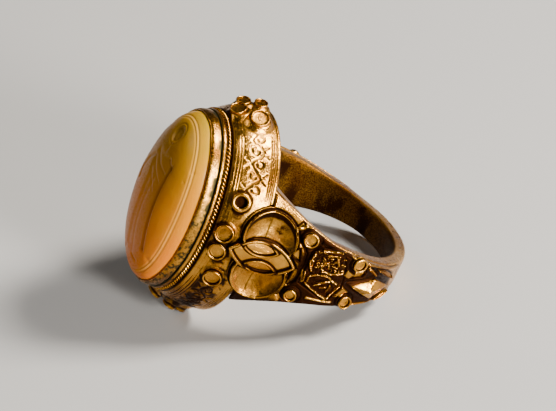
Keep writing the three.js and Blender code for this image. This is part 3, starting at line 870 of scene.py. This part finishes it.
def plate_relief(y, z):
    """Height of the ornament plate over its ground, how dark it is (random stains, and painted shadow and
    shade at walls' feet, on the dishes and on the low ground), and where it is bright.
    """
    h = np.zeros_like(y)
    foot = np.zeros_like(y)
    bright = np.zeros_like(y)
    p = flat_points(y, z)
    grooves = []
    for i, (cy, cz) in enumerate(CIRCLES):
        d = np.hypot(y - cy, z - cz)
        # Known fault: the dish climbs past the collars beyond WALL_INNER and hides most of them.
        dish = -0.33 + 0.34 * (d / CIRCLE_INNER) ** 2 + 0.2 * (d / CIRCLE_INNER) ** 6
        crease = z - cz - 0.35 - 0.03 * noise(p, 0.8, 110)
        dish = dish + 0.03 * bell(crease, 0.07) - 0.03 * bell(crease - 0.13, 0.06)
        dish = dish + 0.045 * grain(p, 0.9, 111 + i)
        h = np.where(d < CIRCLE_OUTER + 0.02, dish, h)
        # Painted shadow round each collar, as if lit from +Y: outside the collar on its -Y side and inside
        # under its +Y side, with patches of painted shade on each dish.
        side = (y - cy) / np.maximum(d, 0.1)
        foot = np.maximum(foot, np.clip(0.7 - 0.6 * side, 0.3, 1) * bell(d - CIRCLE_OUTER - 0.08, 0.18))
        reach = 0.15 + 0.36 * np.clip(side, 0, 1)
        shade = np.clip(0.5 + 0.9 * side, 0.25, 1.3) * bell(d - WALL_INNER, reach)
        upper = sum(bell(np.hypot((y - cy - at_y) / wide_y, (z - cz - at_z) / wide_z), 1.0)
                    for at_y, at_z, wide_y, wide_z in DISH_SHADE[i])
        upper = np.clip(upper, 0, 1) * (0.6 + 0.9 * grain(p, 1.4, 115 + i))
        foot = np.where(d < CIRCLE_OUTER, np.maximum(shade, 0.62 * upper), foot)
        grooves.append((np.abs(d - CIRCLE_OUTER - 0.1), 0.11, 0.12))
    leaf = in_almond(y, z, ALMOND)
    h = np.where(leaf > -0.03, -RECESS, h)
    grooves.append((np.abs(leaf + 0.1), 0.09, 0.1))
    # Painted shadow just outside the almond's edge.
    foot = np.maximum(foot, bell(leaf + 0.12, 0.16))
    for corners, deep in (
        ([(2.1, 5.33), (0.62, 4.85), (1.15, 6.0)], 0.24),
        ([(-0.42, 5.2), (-0.82, 5.6), (-1.5, 5.25)], 0.22),
        ([(1.55, -1.5), (0.45, -0.75), (0.75, -2.2), (1.35, -2.5)], 0.22),
        ([(4.2, 6.4), (5.0, 5.9), (4.2, 5.5)], 0.12),
    ):
        within = inside(y, z, corners)
        h = h - 1.3 * deep * step(-0.02, 0.08, within)
        # Painted shadow along the edges of the cut cells; their floors stay bright.
        foot = np.maximum(foot, 0.95 * bell(within + 0.05, 0.14))
        bright = np.maximum(bright, step(0.05, 0.16, within))
    for points, deep, width in (
        ([(2.45, 5.1), (1.7, 4.55), (0.7, 4.42), (-0.4, 4.45), (-1.5, 4.6), (-2.2, 5.05)], 0.16, 0.13),
        ([(3.4, 3.6), (3.1, 2.6), (3.2, 1.2), (2.9, 0.1)], 0.12, 0.1),
        ([(-1.5, 4.1), (-2.55, 0.75), (-1.6, 0.1)], 0.12, 0.1),
        ([(3.3, 6.0), (3.0, 5.4), (2.75, 4.6)], 0.12, 0.1),
        ([(1.45, -2.4), (1.9, -2.2), (2.1, -2.8), (1.5, -4.0), (1.1, -4.1)], 0.1, 0.08),
    ):
        grooves.append((to_path(y, z, points), deep, width))
    for corners in (PANEL, LOZENGE, *LEAVES.values()):
        d = inside(y, z, corners)
        # Painted shadow round the star panel, the lozenge and the leaves.
        foot = np.maximum(foot, bell(d + 0.09, 0.13))
        grooves.append((np.abs(d + 0.12), 0.08, 0.12))
    for d, deep, width in grooves:
        h = h - 1.5 * deep * bell(d, width)
    for points, rise, width in (
        ([(3.95, 6.35), (4.6, 5.5), (4.95, 5.0)], 0.16, 0.2),
        ([(3.35, 1.15), (3.5, 0.4), (3.3, -0.45), (2.8, -0.6)], 0.14, 0.17),
        ([(1.98, -2.65), (1.6, -3.3), (1.2, -3.8)], 0.2, 0.15),
        ([(2.62, -1.9), (2.4, -3.4), (2.0, -5.0), (1.5, -6.6)], 0.2, 0.24),
        ([(-2.6, -1.9), (-2.4, -3.4), (-2.0, -5.0), (-1.45, -6.6)], 0.16, 0.2),
        ([(3.45, 0.55), (3.35, 0.1), (2.95, -0.25)], 0.2, 0.16),
        ([(-0.1, 4.3), (-1.27, 3.95)], 0.16, 0.13),
        ([(-2.9, 2.8), (-2.75, 1.5), (-2.6, 0.2)], 0.1, 0.13),
        ([(-3.8, 5.7), (-4.3, 5.3)], 0.12, 0.16),
    ):
        lump = bell(to_path(y, z, points), width)
        h = h + rise * lump
        bright = np.maximum(bright, lump)
    for corners in RAISED:
        lump = step(-0.06, 0.1, inside(y, z, corners))
        h = h + (0.14 + 0.12 * (y - corners[1][0])) * lump
        bright = np.maximum(bright, lump)
    for cy, cz, r, _ in PLATE_CELLS:
        d = np.hypot(y - cy, z - cz)
        h = h + 0.08 * bell(d - r - 0.1, 0.1) - 0.12 * bell(d - r - 0.3, 0.1)
        # Painted shadow round the plate cells.
        foot = np.maximum(foot, 0.95 * bell(d - r - 0.16, 0.16))
    # Random stains, painted shade along the -Y edge beyond the lower circle, and painted shade over the
    # ground from z -5.6 to 4.2 between the raised pieces.
    dark_tone = 0.34 * step(-0.2, 0.6, grain(p, 0.9, 127))
    outside = step(-0.1, 0.1, np.hypot(y - CIRCLES[1][0], z - CIRCLES[1][1]) - CIRCLE_OUTER)
    dark_tone = dark_tone + 0.6 * outside * step(-3.6, -4.9, y)
    low = dark_tone + step(5.6, 4.2, z) * step(PLATE_END_Z, -5.6, z) * (0.85 + 0.3 * noise(p, 1.2, 125))
    h = h + 0.02 * noise(p, 0.8, 121) + 0.016 * grain(p, 2.6, 123)
    return h, np.maximum(foot, low), bright


def plate(tag):
    """Ornament plate of one shoulder: a fine front, a coarse back and the edges between them."""
    rows, columns, backs = 380, 232, 25
    s = np.linspace(-1, 1, columns)
    t = np.linspace(0, 1, rows)
    T, S = grid(t, s)
    Z = lerp(plate_top(S * (half_width(WIDEST_Z) - PLATE_MARGIN)), PLATE_END_Z, T)
    W = half_width(np.minimum(Z, WIDEST_Z)) - PLATE_MARGIN
    Y = S * W
    h, foot, bright = plate_relief(Y, Z)
    end = np.clip((-4 - Z) / 3.7, 0, 1)
    base = -end * (PLATE_T - 0.08)
    edge = np.minimum((1 - np.abs(S)) * W, T * PLATE_LENGTH)
    lip = np.clip(edge / 0.16, 0, 1)
    h = base + h * (1 - end) * lip - 0.3 * (1 - np.sqrt(1 - (1 - lip) ** 2)) * (1 - end)
    h = np.maximum(h, -PLATE_T + 0.02)
    dark = np.maximum(hollows(h, 26, 0.07), foot) * (1 - bright)
    front = ground(Y, Z, h)
    keep = np.linspace(0, columns - 1, backs).round().astype(int)
    back = ground(Y[:, keep], Z[:, keep], np.full((rows, backs), -PLATE_T))
    points = np.concatenate([front.reshape(-1, 3), back.reshape(-1, 3)])
    first = rows * columns
    quads = [sheet_faces(rows, columns), sheet_faces(rows, backs, start=first)[:, ::-1]]
    r = np.arange(rows - 1)
    left = np.stack([r * columns, r * columns + columns, first + r * backs + backs, first + r * backs], -1)
    right = left + np.array([columns - 1, columns - 1, backs - 1, backs - 1])
    quads += [left[:, ::-1], right]
    tris = []
    for row, flip in ((0, 1), (rows - 1, -1)):
        faces = bridge(row * columns + np.arange(columns), first + row * backs + np.arange(backs))
        tris += [face[::flip] for face in faces]
    piece(f"ornament_plate_{tag}", (points, np.concatenate(quads), np.array(tris)),
          [f"shoulder_{tag}_plate"], "gold_shoulder", dark, turn=tag == "b")


# ---------------------------------------------------------------- shoulder pieces

def pad(name, outline, height, nodes, slot, tag, rows, low=0.0, soft=10, reach=0.06, feet=None, sink=None):
    """Raised piece on the ornament ground. outline is (around, 2); height is a function of y, z, edge.

    It is dark in its hollows and where feet says so, or, with sink, wherever it lies low."""
    centre = outline.mean(0)
    k = (np.arange(rows) + 0.6) / (rows - 0.4)
    grid = centre + (outline - centre) * k[:, None, None]
    Y, Z = grid[..., 0], grid[..., 1]
    span = np.linalg.norm(outline - centre, axis=-1)
    edge = (1 - k)[:, None] * span
    h = height(Y, Z, edge)
    if sink:
        dark = 0.95 * step(*sink, h)
    else:
        dark = hollows(h, soft, reach)
    if feet:
        dark = np.clip(0.45 * dark + feet(Y, Z), 0, 1)
    top = ground(Y, Z, h)
    side = [ground(Y[-1], Z[-1], lerp(h[-1], low, f)) for f in (0.5, 1.0)]
    under = [ground(*(centre[:, None] + (outline - centre).T * f), np.full(len(outline), low))
             for f in (0.5, 0.05)]
    rings = np.concatenate([top, np.stack(side + under)])
    shade = np.concatenate([dark, np.full((4, len(outline)), 0.8)])
    piece(name, skin(rings), nodes, slot, shade, turn=tag == "b")


CORNER_SOFT = 0.12


def polygon(corners, around):
    """Evenly spaced outline of a polygon with slightly softened corners."""
    c = np.array(list(corners) + [corners[0]], float)
    run = np.concatenate([[0], np.cumsum(np.linalg.norm(np.diff(c, axis=0), axis=1))])
    t = np.arange(around) / around * run[-1]
    line = np.stack([np.interp(t, run, c[:, 0]), np.interp(t, run, c[:, 1])], -1)
    rounds = max(1, int(CORNER_SOFT * around / run[-1] * 3))
    for _ in range(rounds):
        line = (np.roll(line, 1, 0) + 2 * line + np.roll(line, -1, 0)) / 4
    return line


def almond_outline(shape, around):
    swell, arc = shape["swell"], arc_of(shape)
    limit = math.asin(shape["half"] / arc)
    a = np.linspace(-limit, limit, around // 2, endpoint=False)
    upper = np.stack([shape["y"] + arc * np.cos(a) - (arc - swell), shape["z"] + arc * np.sin(a)], -1)
    lower = np.stack([shape["y"] - arc * np.cos(a) + (arc - swell), shape["z"] - arc * np.sin(a)], -1)
    return np.concatenate([upper, lower])


def rounded(edge, rise, width):
    return rise * np.sqrt(1 - (1 - np.clip(edge / width, 0, 1)) ** 2)


def almond(tag):
    """Walled pointed oval with two crescents cut in its floor."""
    def height(y, z, edge):
        p = flat_points(y, z)
        near = in_almond(y, z, ALMOND)
        wall = WALL_RISE * (1 - step(0.2, 0.29, near))
        floor = 0.02 + 0.05 * np.sin((z - 8.7) * 0.9) * np.sign(0.3 - y)
        inset = np.maximum.reduce([in_almond(y, z, shape) for shape in CRESCENTS])
        lip = WALL_RISE * 0.9 * step(-0.2, -0.12, inset) * (1 - step(-0.02, 0.06, inset))
        h = np.maximum(np.maximum(wall, lip), floor)
        slope = 0.12 * (y - np.where(y > -0.2, 0.8, -1.22))
        h = np.where(inset > 0.0, np.minimum(h, lerp(h, -slope, step(0.0, 0.08, inset))), h)
        h = h - 0.07 * (1 - np.clip(near / 0.07, 0, 1)) ** 2
        return h + 0.018 * noise(p, 1.0, 131) + 0.01 * grain(p, 2.6, 133)

    def feet(y, z):
        # Painted shadow along the foot of the almond's wall and round the crescents' edges.
        inset = np.maximum.reduce([in_almond(y, z, shape) for shape in CRESCENTS])
        return (1.1 * bell(in_almond(y, z, ALMOND) - 0.34, 0.1) + 1.1 * bell(inset + 0.25, 0.1)
                + 1.1 * bell(inset - 0.08, 0.08))

    pad(f"almond_{tag}", almond_outline(ALMOND, 520), height, [f"shoulder_{tag}_almond"], "gold_wire", tag,
        110, low=-RECESS + 0.02, soft=9, reach=0.09, feet=feet)


def collar(tag, word):
    """Strip of gold bent round a circle, ending where it meets the almond."""
    cy, cz = CIRCLES[0] if word == "upper" else CIRCLES[1]
    fine = np.linspace(0, TAU, 2000, endpoint=False)
    y, z = cy + WALL_MID * np.sin(fine), cz + WALL_MID * np.cos(fine)
    clear = in_almond(y, z, ALMOND) < -0.02
    if word == "lower":
        clear &= np.hypot(y - CIRCLES[0][0], z - CIRCLES[0][1]) > CIRCLE_OUTER + 0.02
    start = int(np.argmax(clear & ~np.roll(clear, 1)))
    order = np.roll(np.arange(2000), -start)
    run = order[:int(np.argmin(clear[order]))]
    t = np.interp(np.linspace(0, 1, 330), np.linspace(0, 1, len(run)), np.unwrap(fine[run]))
    profile = round_bar([(WALL_INNER - 0.03, -RECESS), (CIRCLE_OUTER, -RECESS), (CIRCLE_OUTER, 0.1),
                         (CIRCLE_OUTER - 0.02, WALL_RISE), (WALL_INNER + 0.03, WALL_RISE), (WALL_INNER, 0.1)])
    r, h = np.array(profile).T
    T, R = grid(t, r)
    H = np.repeat(h[None], len(t), 0)
    Y, Z = cy + R * np.sin(T), cz + R * np.cos(T)
    p = flat_points(Y, Z)
    H = H + (0.03 * noise(p, 0.9, 141) + 0.01 * grain(p, 3.0, 143)) * step(-0.1, 0.2, H)
    shade = 0.95 * (1 - step(0.08, 0.3, H))
    piece(f"{word}_collar_{tag}", skin(ground(Y, Z, H)), [f"shoulder_{tag}_{word}_collar"], "gold_wire",
          shade, turn=tag == "b")


def chip_list():
    """Short slanting chips scattered over the upper half of the star panel."""
    dice = np.random.RandomState(23)
    chips = []
    for row in range(9):
        for column in range(8):
            y = 0.9 + column * 0.24 + dice.uniform(-0.1, 0.1)
            z = 0.5 + row * 0.4 + dice.uniform(-0.14, 0.14)
            slant = dice.uniform(0, math.pi)
            reach = dice.uniform(0.03, 0.17)
            step_y, step_z = reach * math.sin(slant), reach * math.cos(slant)
            chips.append(((y - step_y, z - step_z), (y + step_y, z + step_z), dice.uniform(0.08, 0.34)))
    return chips


CHIPS = chip_list()


def star_height(y, z, edge):
    """Chip-carved panel: scattered chips, and raised ridges for its bars, its arch and its open leaf."""
    p = flat_points(y, z)
    wy = y + 0.05 * noise(p, 1.7, 155)
    wz = z + 0.05 * noise(p, 1.7, 157)
    grit = grain(p, 3.6, 159)
    h = 0.05 + rounded(edge, 0.05, 0.1) + 0.07 * grain(p, 2.2, 151)
    for start, end, rise in CHIPS:
        h = np.maximum(h, 0.06 + rise * (1 + 0.4 * grit) * bell(to_segment(wy, wz, start, end)[0], 0.07))
    for points, rise, width in (
        ([(2.86, 3.1), (3.3, 1.4)], 0.36, 0.12),
        ([(2.45, 2.6), (2.75, 1.4)], 0.24, 0.08),
        ([(2.2, 3.8), (1.35, 4.0), (0.7, 3.8), (0.35, 3.55)], 0.34, 0.15),
        ([(2.0, 1.7), (2.25, 1.35), (1.85, 1.15)], 0.34, 0.13),
        ([(1.0, 2.75), (1.9, 2.3), (1.1, 2.0)], 0.3, 0.1),
        ([(0.6, 2.5), (0.62, 1.55), (1.0, 0.45)], 0.34, 0.11),
        ([(-0.27, 3.45), (0.09, 2.9), (0.3, 2.1), (0.09, 1.36), (-0.3, 0.55)], 0.38, 0.13),
        ([(-0.5, 3.5), (-0.9, 3.5)], 0.3, 0.12),
        ([(-1.05, 2.7), (-0.58, 2.2), (-0.2, 1.35)], 0.4, 0.15),
        ([(-1.2, 2.0), (-0.92, 1.5)], 0.34, 0.12),
        ([(-0.64, 1.1), (-1.36, 1.3)], 0.3, 0.09),
        ([(-1.18, 3.6), (-1.73, 2.6), (-2.25, 1.1)], 0.36, 0.12),
        ([(-0.5, 0.18), (-1.0, 0.55), (-2.2, 0.92)], 0.36, 0.13),
        ([(0.0, 4.0), (-1.1, 3.9)], 0.3, 0.11),
    ):
        ridge = np.clip(1.2 * bell(to_path(wy, wz, points), 0.8 * width), 0, 1)
        h = np.maximum(h, 0.05 + rise * (1 + 0.3 * grit) * ridge)
    return h + 0.012 * grain(p, 3.0, 153)


def lozenge_height(y, z, edge):
    """Folded lozenge: an apex, with a fold across, a scoop on one side and a ridge on the other."""
    p = flat_points(y, z)
    apex = (-0.35, -3.1)
    far = np.hypot(y - apex[0], z - apex[1])
    lean = edge / (edge + far + 1e-6)
    h = 0.14 + 0.68 * lean + rounded(edge, 0.2, 0.1)
    fold = (z - apex[1]) * 0.9 + (y - apex[0]) * 0.45
    h += 0.10 * bell(fold, 0.16)
    h -= 0.34 * bell(to_path(y, z, [(0.1, -0.9), (0.45, -3.2)]), 0.42)
    h += 0.12 * bell(to_path(y, z, [(-0.45, -1.5), (-1.3, -3.7)]), 0.12)
    return h + 0.02 * noise(p, 1.0, 161) + 0.008 * grain(p, 3.0, 163)


def lozenge_shade(y, z):
    """Painted shade in the lozenge's scoop and along its ridge."""
    return (0.9 * bell(to_path(y, z, [(0.0, -1.1), (0.4, -2.3), (0.62, -3.1)]), 0.24)
            + 0.35 * bell(to_path(y, z, [(-0.5, -1.9), (-0.6, -2.6)]), 0.3))


def leaf_height(y, z, edge):
    """Leaf with a raised border."""
    p = flat_points(y, z)
    h = 0.04 + rounded(edge, 0.38, 0.08) - 0.22 * step(0.07, 0.14, edge)
    return h + 0.012 * grain(p, 2.6, 171)


# ---------------------------------------------------------------- cells

def cell(name, origin, normal, r, height, lip, nodes, seed, tag, floor, dark_tone=0.0):
    """Short soldered tube with a dished bright floor and a rubbed lip."""
    around = 84
    t = circle(around)
    bore = r - lip
    profile = [(r + 0.02, -0.35), (r + 0.08, -0.03), (r + 0.05, 0.04), (r + 0.02, 0.12), (r, 0.24),
               (r, height - 0.1)]
    profile += [(r - lip / 2 + lip / 2 * math.cos(a), height - 0.1 + 0.1 * math.sin(a))
                for a in np.linspace(0.3, 2.84, 9)]
    profile += [(bore, height - 0.12), (bore + 0.01, lerp(floor, height, 0.4)),
                (bore - 0.03, floor + 0.03), (bore - 0.09, floor)]
    profile += [(bore * f, floor + 0.02 - 0.02 * f) for f in (0.6, 0.4, 0.2, 0.05)]
    side = unit(np.cross([0, 0, 1], normal))
    up = np.cross(normal, side)
    rings = []
    shade = []
    for rr, h in profile:
        p = np.stack([rr * np.cos(t), rr * np.sin(t), 0 * t + h], -1)
        key = p + np.array([seed * 7.3, seed * 3.1, 0])
        rr_t = rr * (1 + 0.04 * noise(key * np.array([1, 1, 0]), 0.9, seed) * step(0, 0.3, rr / r))
        uneven = step(0.3, 0.6, h / height) * step(bore - 0.1, bore, rr)
        h_t = h + 0.03 * noise(key, 1.4, seed + 3) * uneven
        rings.append(origin + rr_t[:, None] * (np.cos(t)[:, None] * side + np.sin(t)[:, None] * up)
                     + h_t[:, None] * normal)
        # Painted shade: the bore's inner wall black, the outer wall dark, and the bore's floor at the given
        # dark tone.
        inside_wall = rr < bore + 0.02 and floor + 0.025 < h < height - 0.08
        outside_wall = rr > r - 0.02 and 0.05 < h < height - 0.12
        tone = 1.0 if inside_wall else 0.8 if outside_wall else dark_tone if rr < bore else 0.0
        shade.append(np.full(around, tone))
    piece(name, skin(np.stack(rings)), nodes, "gold_cells", np.stack(shade), turn=tag == "b")


# ---------------------------------------------------------------- all pieces

hoop()
base_plate()
wall()
setting()
wire()
stone()
for tag in ("a", "b"):
    plate(tag)
    almond(tag)
    collar(tag, "upper")
    collar(tag, "lower")
    pad(f"star_{tag}", polygon(PANEL, 460), star_height, [f"shoulder_{tag}_star_panel"],
        "gold_shoulder", tag, 96, sink=(0.27, 0.13))
    pad(f"facet_{tag}", polygon(LOZENGE, 260), lozenge_height, [f"shoulder_{tag}_lozenge"],
        "gold_shoulder", tag, 50, feet=lozenge_shade)
    for word, corners in LEAVES.items():
        pad(f"{word}_bud_{tag}", polygon(corners, 200), leaf_height, [f"shoulder_{tag}_leaf_{word}"],
            "gold_shoulder", tag, 30, reach=0.5)
    for i, (y, z, r, tall) in enumerate(BOX_CELLS):
        foot, n = on_drum(None, y, z)
        # The first box cell's deep bore gets painted shadow on its floor.
        lip, floor_z, dark_tone = (0.36, 0.05, 0.7) if i == 0 else (0.17, 0.2, 0.0)
        cell(f"box_cup_{tag}_{i + 1}", foot, n, r, tall + 0.05, lip, [f"shoulder_{tag}_box_cell_{i + 1}"],
             200 + i, tag, floor_z, dark_tone)
    for i, (y, z, r, tall) in enumerate(PLATE_CELLS):
        foot = ground(y, z, 0.0)
        cell(f"plate_cup_{tag}_{i + 1}", foot, ground(y, z, 1.0) - foot, r, tall + 0.03, 0.18,
             [f"shoulder_{tag}_plate_cell_{i + 1}"], 220 + i, tag, 0.14)
    for i, (x, z, r, tall) in enumerate(END_CELLS):
        cell(f"end_cup_{tag}_{i + 1}", on_drum(x, None, z)[0], unit(np.array(END_LEANS[i])), r, tall, 0.15,
             [f"end_{tag}_cell_{i + 1}"], 240 + i, tag, tall - 0.16)

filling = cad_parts["bezel_filling"]
filling.data.materials.clear()
filling.data.materials.append(MATERIALS["filling"])


# ---------------------------------------------------------------- studio

FLOOR_GREY = (0.27, 0.268, 0.266)
FLOOR_SIZE = 6
LAMP_AIM = (0, 0, 0.012)
WORLD_STRENGTH = 0.035


def floor_material():
    material, _, surface = new_material("pale floor")
    fill(surface, Base_Color=(*FLOOR_GREY, 1), Roughness=0.7)
    return material


bpy.ops.mesh.primitive_plane_add(size=FLOOR_SIZE)
floor = bpy.context.object
floor.name = "floor"
floor.data.materials.append(floor_material())

# The photograph's camera, fitted to the ring's outlines: place (mm) and two directions in the ring
# frame, and the lens (mm)
EYE = np.array([263.556, 129.682, 155.052])
RIGHT = np.array([0.308641, 0.387583, -0.868631])
DOWN = np.array([0.515125, -0.835812, -0.189905])
LENS = 203.33


def added(name, data):
    obj = bpy.data.objects.new(name, data)
    bpy.context.scene.collection.objects.link(obj)
    return obj


def camera():
    right = LIE @ RIGHT / np.linalg.norm(RIGHT)
    up = -LIE @ DOWN
    up -= right * (up @ right)
    up /= np.linalg.norm(up)
    data = bpy.data.cameras.new("camera")
    data.sensor_width = 36
    data.lens = LENS
    data.clip_start = 0.01
    obj = added("camera", data)
    matrix = Matrix((Vector(right), Vector(up), Vector(np.cross(right, up)))).transposed().to_4x4()
    matrix.translation = Vector((LIE @ EYE + LIE_SHIFT) * MM)
    obj.matrix_world = matrix
    bpy.context.scene.camera = obj


def lamp(name, place, size, power, colour):
    data = bpy.data.lights.new(name, "AREA")
    data.shape = "RECTANGLE"
    data.size, data.size_y = size
    data.energy = power
    data.color = colour
    obj = added(name, data)
    obj.location = place
    obj.rotation_euler = (Vector(LAMP_AIM) - Vector(place)).to_track_quat("-Z", "Y").to_euler()


camera()
lamp("key", (0.10, 0.36, 0.37), (0.14, 0.14), 12.0, (1.0, 0.94, 0.85))
lamp("side", (0.42, 0.17, 0.11), (0.10, 0.16), 9.0, (1.0, 0.96, 0.9))
lamp("front", (-0.18, -0.30, 0.42), (0.14, 0.14), 1.0, (1.0, 0.95, 0.88))
world = bpy.data.worlds.new("studio")
bpy.context.scene.world = world
world.use_nodes = True
fill(world.node_tree.nodes["Background"], Color=(0.9, 0.93, 1.0, 1), Strength=WORLD_STRENGTH)
